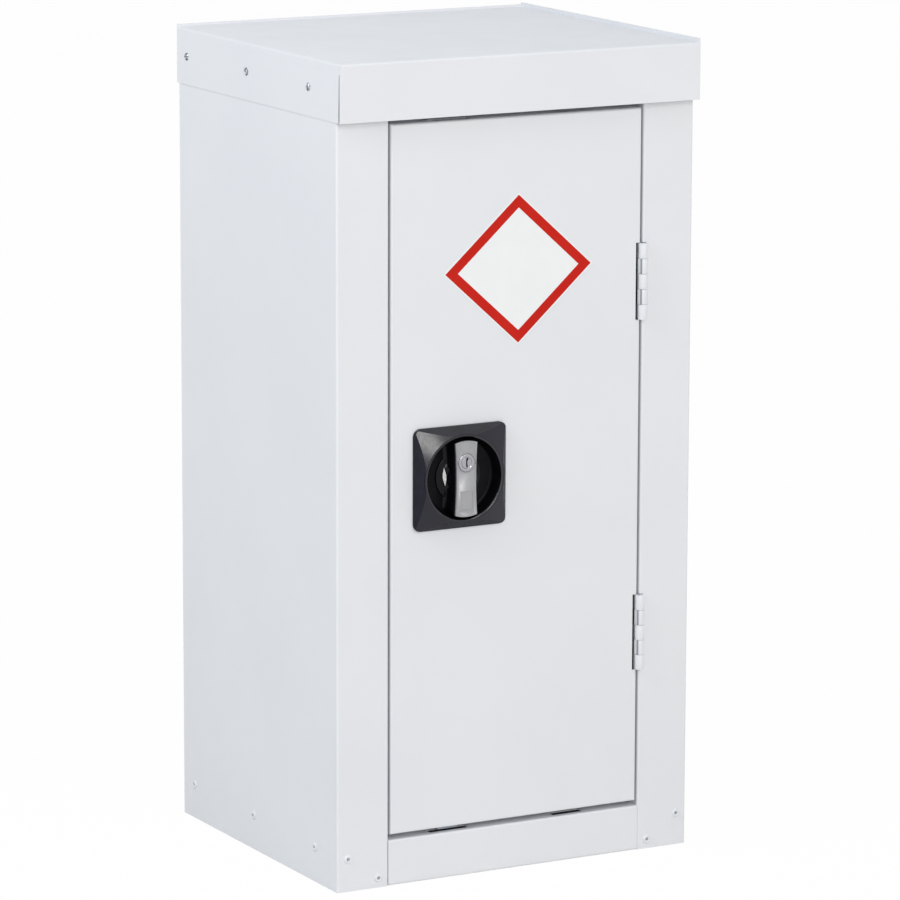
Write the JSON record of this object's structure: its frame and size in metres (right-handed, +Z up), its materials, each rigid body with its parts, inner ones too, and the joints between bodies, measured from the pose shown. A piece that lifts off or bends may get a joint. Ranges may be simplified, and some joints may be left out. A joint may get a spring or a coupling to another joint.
{
  "type": "chemical storage cupboard",
  "caption": "Small free-standing steel cupboard: hinged door, recessed swing handle with key lock, bolts into sill and header, overhanging lid, shelf and spill tray.",
  "frame": {"origin": "middle of the footprint (350 by 305 mm body), on the floor", "axes": "+Z up, -Y the way the door faces, +X to the right seen from the front"},
  "size_m": [0.354, 0.3204, 0.7235],
  "materials": {
    "white_paint": "satin powder coat",
    "zinc_steel": "bright zinc plate",
    "black_plastic": "fine-grained moulding",
    "grey_plastic": "smooth moulding",
    "lock_chrome": "polished",
    "rivet_steel": "plain",
    "sticker_vinyl": "printed vinyl"
  },
  "bodies": {
    "cupboard": {"left_side_panel": "white_paint", "right_side_panel": "white_paint", "back_panel": "white_paint", "lid": "white_paint", "bottom_rail": "white_paint", "top_header": "white_paint", "left_corner_bracket": "zinc_steel", "right_corner_bracket": "zinc_steel", "base_tray": "white_paint", "shelf": "white_paint", "shelf_strip_front_left": "zinc_steel", "shelf_strip_rear_left": "zinc_steel", "shelf_strip_front_right": "zinc_steel", "shelf_strip_rear_right": "zinc_steel", "shelf_clips": "zinc_steel", "lower_hinge_frame_leaf": "white_paint", "lower_hinge_pin": "zinc_steel", "upper_hinge_frame_leaf": "white_paint", "upper_hinge_pin": "zinc_steel", "front_rivets": "white_paint", "base_rivets": "white_paint", "lid_rivets": "rivet_steel", "back_rivets": "rivet_steel"},
    "door": {"door_skin": "white_paint", "door_stiffener": "white_paint", "bolt_guide_lower": "black_plastic", "bolt_guide_upper": "black_plastic", "diamond_sticker": "sticker_vinyl", "lower_hinge_door_leaf": "white_paint", "upper_hinge_door_leaf": "white_paint", "handle_surround": "black_plastic", "surround_clamp": "zinc_steel", "clamp_screws": "zinc_steel"},
    "handle": {"handle_grip": "black_plastic", "grip_face": "grey_plastic", "lock_cylinder": "lock_chrome", "handle_spindle": "zinc_steel", "cam_plate": "zinc_steel", "cam_pegs": "zinc_steel", "cam_washer": "zinc_steel", "cam_screw": "zinc_steel"},
    "key_barrel": {"key_plug": "lock_chrome", "lock_tongue": "zinc_steel"},
    "top_bolt_body": {"top_bolt": "zinc_steel"},
    "bottom_bolt_body": {"bottom_bolt": "zinc_steel"}
  },
  "joints": [
    {"name": "door_hinge", "type": "hinge", "parent": "cupboard", "child": "door", "pos_m": [0.1247, -0.154, 0.353], "axis": [0, 0, 1], "range_deg": [0, 180]},
    {"name": "handle_turn", "type": "hinge", "parent": "door", "child": "handle", "pos_m": [-0.0567, -0.1525, 0.3565], "axis": [0, -1, 0], "range_deg": [0, 90]},
    {"name": "key_turn", "type": "hinge", "parent": "handle", "child": "key_barrel", "pos_m": [-0.0567, -0.1525, 0.3707], "axis": [0, -1, 0], "range_deg": [0, 90]},
    {"name": "top_bolt_slide", "type": "slide", "parent": "door", "child": "top_bolt_body", "axis": [0, 0, 1], "range_m": [0, 0.0198]},
    {"name": "bottom_bolt_slide", "type": "slide", "parent": "door", "child": "bottom_bolt_body", "axis": [0, 0, -1], "range_m": [0, 0.0198]}
  ],
  "couplings": [
    {"joint": "handle_turn", "follows": "top_bolt_slide", "rad_per_m": 79.333},
    {"joint": "bottom_bolt_slide", "follows": "top_bolt_slide", "ratio": 1}
  ]
}
